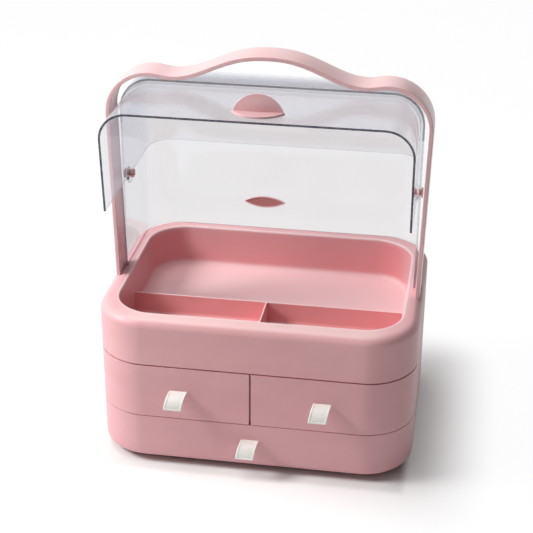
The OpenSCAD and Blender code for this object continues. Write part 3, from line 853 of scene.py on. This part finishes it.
def press_border(bm, faces):
    """Sinks a groove round the strip's face; what it encloses takes the second finish."""
    edge, down, groove, up = (0.0012, 0.0, 0), (0.00025, -0.0004, 1), (0.00035, 0.0, 1), (0.00025, 0.0002, 1)
    for width, rise, finish in (edge, down, groove, up):
        bmesh.ops.inset_region(bm, faces=faces, thickness=width, depth=rise, use_even_offset=True)
        for face in faces:
            face.material_index = finish


def pull_tab(name, body, x, z):
    """Ivory strip that comes out of a slot and curls down, with a pressed border on its face."""
    start_y, root_y = FRONT_Y + FRONT_T + TAB_IN, FRONT_Y - 0.0003
    bend_y, steps, tip = FRONT_Y - TAB_OUT + TAB_CURL, 12, 0.0023
    centre = Vector((x, bend_y, z + TAB_T / 2 - TAB_CURL))
    bm = new_mesh()
    face = bm.faces.new([bm.verts.new(p) for p in tab_section(x, start_y, z)])
    face = grow(bm, face, (0, root_y - start_y, 0))
    face = grow(bm, face, (0, bend_y - root_y, 0))
    for _ in range(steps):
        face = grow(bm, face, (0, 0, 0))
        turn_by(bm, TAB_BEND / steps, "X", centre, list(face.verts))
    grow(bm, face, Vector((0, -math.cos(TAB_BEND), -math.sin(TAB_BEND))) * tip)

    def is_face(face):
        middle = face.calc_center_median()
        wide = len(face.verts) == 4 and face.calc_area() > 1e-6 and abs(middle.x - x) < 0.001
        outer = middle.y < FRONT_Y - 0.0004 and (middle - centre).length > TAB_CURL - TAB_T * 0.4
        return wide and outer and (face.normal.z > 0.02 or face.normal.y < -0.5)

    bmesh.ops.recalc_face_normals(bm, faces=bm.faces)
    press_border(bm, [f for f in bm.faces if is_face(f)])
    sideways, reach, drop = 0.0016, 0.016, 0.012
    for v in bm.verts:
        if v.co.y < root_y:
            v.co.x -= sideways * ((root_y - v.co.y) / reach + (z - v.co.z) / drop)
    piece(closed_object(bm, name), name + "_strip", body, [IVORY, IVORY_FIELD], [name])


def tab_clip(name, body):
    """Springy clip behind the front, with the slot that the strip passes through."""
    low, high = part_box(name)
    middle = (low + high) / 2
    half_x, half_z = TAB_W / 2 + 0.00005, TAB_T / 2 + 0.00005
    obj = box(low.x, high.x, low.y, high.y, low.z, high.z)
    slot = box(middle.x - half_x, middle.x + half_x, low.y - PAST, high.y + PAST,
               middle.z - half_z, middle.z + half_z)
    combine(obj, [slot], "DIFFERENCE")
    smooth_over(obj)
    piece(obj, name + "_clip", body, [IVORY], [name], 0.0004)


def pulls():
    for name, body, x, z in (("lower_tab", "lower_drawer", 0, LOWER_TAB_Z),
                             ("upper_left_tab", "upper_left_drawer", -TAB_X, UPPER_TAB_Z),
                             ("upper_right_tab", "upper_right_drawer", TAB_X, UPPER_TAB_Z)):
        pull_tab(name, body, x, z)
        tab_clip(name + "_clip", body)


# ---------- clear shells ----------

def barrel_sheet(half, r, corner_r, drop, lean):
    """Open sheet: straight walls that lean, closed by half a barrel about the hinge."""
    outline = Outline(-half, half, -r, r, corner_r)
    bm = new_mesh()
    sweep(bm, [(outline, 0, -drop), (outline, 0, -drop / 2), (outline, 0, 0)], n=16, cap=False)
    split(bm, (0, 0, 0), (0, 1, 0))
    top = [e for e in bm.edges if all(abs(v.co.z) < 1e-6 and v.co.y > -1e-6 for v in e.verts)]
    ends = list({v: None for e in top for v in e.verts})
    bmesh.ops.spin(bm, geom=top + ends, cent=(0, 0, 0), axis=(1, 0, 0), angle=math.pi, steps=56)
    bmesh.ops.remove_doubles(bm, verts=bm.verts, dist=2e-6)
    turn_by(bm, -lean, "X")
    move_by(bm, HINGE)
    return bm


def sheet_piece(bm, name, body, node, finishes, is_soft):
    """Gives the sheet its wall; its cut edges take the second finish, a painted edge shade, or the third, a
    fainter one, where is_soft says so.
    """
    bmesh.ops.recalc_face_normals(bm, faces=bm.faces)
    middle = HINGE + Vector((0, 0, -0.02))
    outward = sum((f.calc_center_median() - middle).dot(f.normal) * f.calc_area() for f in bm.faces)
    if outward < 0:
        bmesh.ops.reverse_faces(bm, faces=bm.faces)
    obj = as_object(bm, name)
    for mat in finishes:
        obj.data.materials.append(mat)
    wall = obj.modifiers.new("wall", "SOLIDIFY")
    wall.thickness = CLEAR_T
    wall.offset = -1
    wall.use_even_offset = True
    wall.use_quality_normals = True
    wall.material_offset_rim = 1
    settle(obj)
    for face in obj.data.polygons:
        if face.material_index and is_soft(face):
            face.material_index = 2
    piece(obj, name, body, finishes, [node])


def rear_shell():
    """The fixed half; below its shoulders its front edge is hardly seen, with only the faint painted edge
    shade.
    """
    foot, shoulder_z = 0.0008, HINGE.z + 0.055
    bm = barrel_sheet(SHELL_HALF, SHELL_R, SHELL_ROUND, HINGE.z - RIM_Z + foot, 0)
    slice_off(bm, (0, SHELL_FRONT, 0), (0, -1, 0), fill=False)
    sheet_piece(bm, "rear_shell_sheet", "case", "rear_shell", [CLEAR, SHELL_EDGE_SHADE, SOFT_EDGE_SHADE],
                lambda face: face.center.z < shoulder_z)


def swing_open(bm):
    """Turns what was made on the shut lid about the hinge to where the open lid has it."""
    turn_by(bm, -OPEN_ANGLE, "X", HINGE)


def cut_behind_ears(bm):
    """Ends the lid at the plane through its hinge, but for half a disc round each pin."""
    back_way = Vector((0, math.cos(LEAN), -math.sin(LEAN)))
    up_way = Vector((0, math.sin(LEAN), math.cos(LEAN)))
    steps = [math.radians(a) for a in range(-85, 90, 10)]
    ways = [back_way * math.cos(a) + up_way * math.sin(a) for a in steps]
    for way, point in [(back_way, HINGE)] + [(way, HINGE + way * EAR_R) for way in ways]:
        split(bm, point, way, dist=1e-7)

    def goes(face):
        middle = face.calc_center_median() - HINGE
        in_ear = all(middle.dot(way) < EAR_R for way in ways) and abs(middle.x) > LID_HALF - 0.001
        return middle.dot(back_way) > 1e-6 and not in_ear

    bmesh.ops.delete(bm, geom=[f for f in bm.faces if goes(f)], context="FACES")


def front_lid():
    """The half that flips up, made shut and then swung open; its rear edge is hardly seen, with only the
    faint painted edge shade.
    """
    spare = 0.004
    bm = barrel_sheet(LID_HALF, LID_R, LID_ROUND, LID_DROP + spare, LEAN)
    slice_off(bm, (0, 0, LID_LOW), (0, 0, -1), fill=False)
    cut_behind_ears(bm)
    swing_open(bm)
    rear_way = Matrix.Rotation(-LEAN - OPEN_ANGLE, 3, "X") @ Vector((0, 1, 0))
    sheet_piece(bm, "front_lid_sheet", "lid", "front_lid", [CLEAR_LID, CLEAR_EDGE_SHADE, SOFT_EDGE_SHADE],
                lambda face: face.normal.dot(rear_way) > 0.3)


# ---------- lid grip ----------

def on_wall(bm, up):
    """From a frame on the lid's front wall, +Z out of it and +Y up, to its place on the open lid."""
    turn_by(bm, math.pi / 2, "X")
    move_by(bm, (0, -LID_R, up - LID_DROP))
    turn_by(bm, -LEAN, "X")
    move_by(bm, HINGE)
    swing_open(bm)


def arc_radius(chord, rise):
    """Radius of an arc from its chord and its rise."""
    return (chord * chord / 4 + rise * rise) / (2 * rise)


def lens_points(w, front, rear, inset, n=40):
    """Outline between two arcs over the same chord, drawn in by a distance."""
    points = []
    r1, r2 = arc_radius(w, rear), arc_radius(w, front)
    c1, c2 = rear - r1, r2 - front
    r1, r2 = r1 - inset, r2 - inset
    tip_y = (r1 * r1 - r2 * r2 - c1 * c1 + c2 * c2) / (2 * (c2 - c1))
    tip_x = math.sqrt(r1 * r1 - (tip_y - c1) ** 2)
    for centre, r, sign in ((c1, r1, 1), (c2, r2, -1)):
        half = math.atan2(tip_x, sign * (tip_y - centre))
        for i in range(n):
            a = half * (1 - 2 * i / n) * sign
            points.append((r * math.sin(a), centre + sign * r * math.cos(a)))
    return points


def lens_stack(bm, w, front, rear, profile):
    """Draws a lens up into a solid; profile lists how far each ring is drawn in, and its height."""
    inset, z = profile[0]
    face = bm.faces.new([bm.verts.new((x, y, z)) for x, y in lens_points(w, front, rear, inset)])
    for inset, next_z in profile[1:]:
        face = grow(bm, face, (0, 0, next_z - z))
        z = next_z
        for v, (x, y) in zip(face.verts, lens_points(w, front, rear, inset)):
            v.co.xy = (x, y)
    bmesh.ops.recalc_face_normals(bm, faces=bm.faces)
    return face


def hood(bm, n=56, lip=0.0011):
    """Half-round hood: a softly swollen face, a rolled lip and a domed back."""
    face_r = arc_radius(GRIP_W, GRIP_OUT)
    ball_y = GRIP_REAR - arc_radius(GRIP_W, GRIP_REAR)
    ball_z = GRIP_OUT - face_r
    ball_r = math.hypot(face_r, ball_y)
    swell, swell_half_w, swell_half_h, swell_z = 0.0012, 0.0225, 0.0120, 0.0060

    def face_at(x, z):
        off = min((x / swell_half_w) ** 2 + ((z - swell_z) / swell_half_h) ** 2, 1)
        return -swell * (1 - off) ** 2

    def dome_at(x, z):
        return ball_y + math.sqrt(ball_r ** 2 - x * x - (z - ball_z) ** 2)

    face_steps = [i / 16 for i in range(1, 17)]
    dome_steps = [1 - (i / 20) ** 1.5 for i in range(1, 20)]
    rows = []
    for k in range(n + 1):
        a = math.pi * k / n
        cos, sin = math.cos(a), math.sin(a)
        edge = ball_z * sin + math.sqrt(face_r ** 2 - (ball_z * cos) ** 2)
        row = []
        for t in face_steps:
            x, z = (edge - lip) * t * cos, (edge - lip) * t * sin
            row.append((x, face_at(x, z), z))
        back = edge - lip * 0.8
        start, end = Vector(row[-1]), Vector((back * cos, dome_at(back * cos, back * sin), back * sin))
        corner = Vector((edge * cos, 0, edge * sin))
        for j in range(1, 7):
            t = j / 7
            row.append(start * (1 - t) ** 2 + corner * 2 * t * (1 - t) + end * t * t)
        row.append(end)
        for t in dome_steps:
            x, z = back * t * cos, back * t * sin
            row.append((x, dome_at(x, z), z))
        rows.append([bm.verts.new(p) for p in row])
    front = bm.verts.new((0, face_at(0, 0), 0))
    rear = bm.verts.new((0, dome_at(0, 0), 0))
    for a, b in zip(rows, rows[1:]):
        for i in range(len(a) - 1):
            bm.faces.new((a[i], a[i + 1], b[i + 1], b[i]))
        bm.faces.new((front, a[0], b[0]))
        bm.faces.new((a[-1], rear, b[-1]))
    bm.faces.new(rows[0][::-1] + [front] + rows[-1] + [rear])
    bmesh.ops.recalc_face_normals(bm, faces=bm.faces)


def lid_grip():
    """Half-round hood over the upper part of a lens-shaped foot."""
    foot = [(0.0, 0.0), (0.0, 0.0013), (0.00012, 0.0017), (0.0005, 0.00196), (0.0010, 0.0020)]
    bm = new_mesh()
    lens_stack(bm, GRIP_W, GRIP_FRONT, GRIP_REAR, foot)
    for face in bm.faces:
        face.material_index = 1
    hood(bm)
    on_wall(bm, GRIP_UP)
    finishes = [TRIM_PINK, FOOT_PINK]
    piece(closed_object(bm, "hood"), "lid_grip_hood", "lid", finishes, ["lid_grip"])


# ---------- plate and hinges ----------

def rear_plate():
    """Bare lens-shaped plate with a raised rim."""
    outer = [(0.0, 0.0), (0.0, PLATE_T - 0.0004), (0.0001, PLATE_T - 0.0001), (0.0003, PLATE_T)]
    inner = [(0.0008, PLATE_T), (0.0010, PLATE_T - 0.0001), (0.0011, PLATE_T - 0.0006)]
    wall_y = HINGE.y + SHELL_R - CLEAR_T
    finishes = [TRIM_PINK, PLATE_PINK]
    bm = new_mesh()
    field = lens_stack(bm, PLATE_W, PLATE_H / 2, PLATE_H / 2, outer + inner)
    field.material_index = 1
    turn_by(bm, math.pi / 2, "X")
    move_by(bm, (PLATE_X, wall_y, RIM_Z + PLATE_RISE))
    piece(closed_object(bm, "plate"), "rear_plate_lens", "case", finishes, ["rear_plate"])


def hinge_pin(side):
    """Round-headed pin with a split, barbed end."""
    name = "right_hinge_pin" if side > 0 else "left_hinge_pin"
    barb = [(0.1335, 0.0), (0.1335, PIN_R), (0.1338, 0.0038), (0.1346, 0.0044), (0.1361, 0.0044),
            (0.1365, 0.0042), (0.1365, PIN_R)]
    head = [(0.1419, PIN_R), (0.1420, 0.0050), (0.1428, 0.0050), (0.1433, 0.0044), (0.1435, PIN_R),
            (0.1435, 0.0)]
    bm = new_mesh()
    lathe(bm, [(side * x, r, 0) for x, r in barb + head], (1, 0, 0), 40)
    move_by(bm, HINGE)
    obj = closed_object(bm, name)
    half_slot, reach, inner_x, outer_x = 0.0006, 2 * PIN_R, 0.130, LID_HALF - 0.0001
    left, right = sorted((side * inner_x, side * outer_x))
    slot = box(left, right, HINGE.y - reach, HINGE.y + reach, HINGE.z - half_slot, HINGE.z + half_slot)
    combine(obj, [slot], "DIFFERENCE")
    piece(obj, name + "_turned", "case", [TRIM_PINK], [name])


# ---------- strap ----------

def wave_z(x):
    """Height of the strap's middle line at a distance from the centre."""
    if x < WAVE_HALF:
        return CROWN_Z - STRAP_T / 2 - WAVE_H * (1 - math.cos(math.pi * (x / WAVE_HALF) ** 1.2)) / 2
    u = (x - WAVE_HALF) / (SHOULDER_X - WAVE_HALF)
    return SHOULDER_Z - STRAP_T / 2 - SHOULDER_H * (1 + math.cos(math.pi * u)) / 2


def strap_path():
    """Points (x, z) of the strap's middle line from the left foot to the right one."""
    lean = math.atan(SPREAD / (SHOULDER_Z - SHOULDER_R - RIM_Z))
    bend = SHOULDER_R - STRAP_T / 2
    foot_x, foot_z = STRAP_HALF - STRAP_T / 2, RIM_Z
    top_x, top_z = SHOULDER_X + bend * math.cos(lean), SHOULDER_Z - SHOULDER_R - bend * math.sin(lean)
    half = [(foot_x, foot_z - 0.0095), (foot_x, foot_z)]
    for i in range(1, 8):
        u = i / 8
        half.append((foot_x * (1 - u) + top_x * u, foot_z * (1 - u) + top_z * u))
    for i in range(24, 0, -1):
        a = (math.pi / 2 + lean) * i / 24
        half.append((SHOULDER_X + bend * math.sin(a), SHOULDER_Z - SHOULDER_R + bend * math.cos(a)))
    for i in range(48, 0, -1):
        x = SHOULDER_X * i / 48
        half.append((x, wave_z(x)))
    return [(-x, z) for x, z in half] + [(0.0, wave_z(0))] + half[::-1]


def strap_section():
    """Outline (across, outwards) of the strap: crowned outside, rounded edges, a flat channel inside."""
    w, t, r = STRAP_W / 2, STRAP_T / 2, 0.0008
    edge_top = STRAP_EDGE - t
    flat, channel, channel_side = w - r, 0.0004, 0.0038
    crown = []
    for i in range(15):
        y = flat * (1 - 2 * i / 14)
        crown.append((y, t - (t - edge_top) * (y / flat) ** 2))

    def round_edge(y, out, degrees, first, last):
        turns = [math.radians(degrees + 18 * k) for k in range(first, last)]
        return [(y + r * math.cos(a), out + r * math.sin(a)) for a in turns]

    left = round_edge(-flat, edge_top - r, 90, 1, 6) + round_edge(-flat, r - t, 180, 0, 6)
    right = round_edge(flat, r - t, 270, 0, 6) + round_edge(flat, edge_top - r, 0, 0, 5)
    half = w - channel_side
    inside = [(-half, -t), (channel * 2 - half, channel - t), (half - channel * 2, channel - t), (half, -t)]
    return crown + left + inside + right


def strap():
    """Pulls the section along the path and turns it square to the path at each point."""
    path = [Vector((x, STRAP_Y, z)) for x, z in strap_path()]
    ways = [(b - a).normalized() for a, b in zip(path[:1] + path, path[1:] + path[-1:])]
    out = Vector((-ways[0].z, 0, ways[0].x))
    bm = new_mesh()
    face = bm.faces.new([bm.verts.new(path[0] + Vector((0, y, 0)) + out * n) for y, n in strap_section()])
    for start, end, way, next_way in zip(path, path[1:], ways, ways[1:]):
        face = grow(bm, face, end - start)
        turn = way.rotation_difference(next_way).to_matrix()
        bmesh.ops.rotate(bm, matrix=turn, verts=list(face.verts), cent=end)
    piece(closed_object(bm, "strap"), "carrying_strap", "case", [STRAP_PINK], ["handle"])


screws_and_washers()
lower_frame()
middle_frame()
base_plate()
feet()
top_tray()
dividers()
drawers()
pulls()
rear_shell()
front_lid()
lid_grip()
rear_plate()
hinge_pin(-1)
hinge_pin(1)
strap()


# ---------- stage, light and camera ----------

SEEN = ("Camera", "Glossy", "Transmission")


def floor():
    """White paper sweep: near the object it keeps the rendered shadow under a weak glow, with a painted dark
    contact shade under the case, and a painted glow that grows with distance makes it plain white further
    off.
    """
    lift_near, lift_far, lift_reach = 0.18, 0.94, 0.085
    paper, paper_far = (0.86, 0.86, 0.855, 1), (0.08, 0.08, 0.08, 1)
    bm = bmesh.new()
    bmesh.ops.create_grid(bm, x_segments=1, y_segments=1, size=6)
    obj = as_object(bm, "floor")
    fin = Finish("floor_white", Roughness=0.9, Specular_IOR_Level=0.1, Emission_Strength=1.0)
    x, y, _ = fin.xyz()
    past_x, past_y = abs(x) - BODY_HALF, abs(y) - BACK_Y
    # painted light: the floor's glow grows with distance from the case and washes the rendered shadow out to
    # white
    far = ((past_x.max(0.0) ** 2 + past_y.max(0.0) ** 2) ** 0.5).ramp(0.0, lift_reach)
    # painted shade: under the case the floor gets no glow, a dark contact shade
    clear_of_case = past_x.max(past_y).ramp(-0.010, 0.001)
    lift = clear_of_case * lift_near + far * (lift_far - lift_near)
    seen = fin.ray_is(*SEEN)
    fin.feed("Base Color", fin.mix(seen * far, paper, paper_far))
    fin.feed("Emission Color", fin.mix(lift * seen, (0, 0, 0, 1), (1, 1, 1, 1)))
    obj.data.materials.append(fin.mat)


def area_light(name, place, target, size, power):
    data = bpy.data.lights.new(name, "AREA")
    data.shape = "DISK"
    data.size = size
    data.energy = power
    lamp = in_scene(name, data)
    lamp.location = place
    lamp.rotation_euler = (Vector(target) - Vector(place)).to_track_quat("-Z", "Y").to_euler()


def studio():
    """White to the eye; as a lamp and in gloss it falls off to the upper right."""
    lamp_level, lamp_side, gloss_dim = 0.17, 0.12, 0.8
    world = bpy.data.worlds.new("studio")
    world.use_nodes = True
    sky = Graph(world.node_tree)
    sky.coords = "Generated"
    background = world.node_tree.nodes["Background"]
    background.inputs["Color"].default_value = (1, 1, 1, 1)
    x, _, z = sky.xyz()
    dim = sky.ray_is("Glossy") * x.ramp(-0.05, 0.45) * z.ramp(0.03, 0.30) * gloss_dim
    seen = sky.ray_is(*SEEN)
    level = seen * (1 - dim) + (1 - seen) * (lamp_level - x * lamp_side)
    world.node_tree.links.new(level.out, background.inputs["Strength"])
    bpy.context.scene.world = world


def set_camera():
    """A long lens that looks down at the front, a little from the right."""
    azimuth, elevation, roll = math.radians(8.9), math.radians(26.2), math.radians(0.4)
    target, distance = Vector((-0.0028, 0.0055, 0.1627)), 1.3428
    focal_px, frame_px, sensor_mm = 1384.5, 533, 36
    data = bpy.data.cameras.new("camera")
    data.lens = focal_px * sensor_mm / frame_px
    data.sensor_width = sensor_mm
    camera = in_scene("camera", data)
    back = Vector((math.sin(azimuth) * math.cos(elevation), -math.cos(azimuth) * math.cos(elevation),
                   math.sin(elevation)))
    level = Vector((math.cos(azimuth), math.sin(azimuth), 0))
    upright = back.cross(level)
    right = level * math.cos(roll) + upright * math.sin(roll)
    up = upright * math.cos(roll) - level * math.sin(roll)
    turn = Matrix((right, up, back)).transposed().to_4x4()
    camera.matrix_world = Matrix.Translation(target + back * distance) @ turn
    bpy.context.scene.camera = camera


floor()
studio()
area_light("key", (-1.14, -0.33, 1.015), (0, 0, 0.10), 0.55, 18)
area_light("overhead", (-0.4, 0.1, 1.8), (0, 0, 0.1), 1.2, 14)
set_camera()
bpy.context.scene.view_settings.view_transform = "Standard"
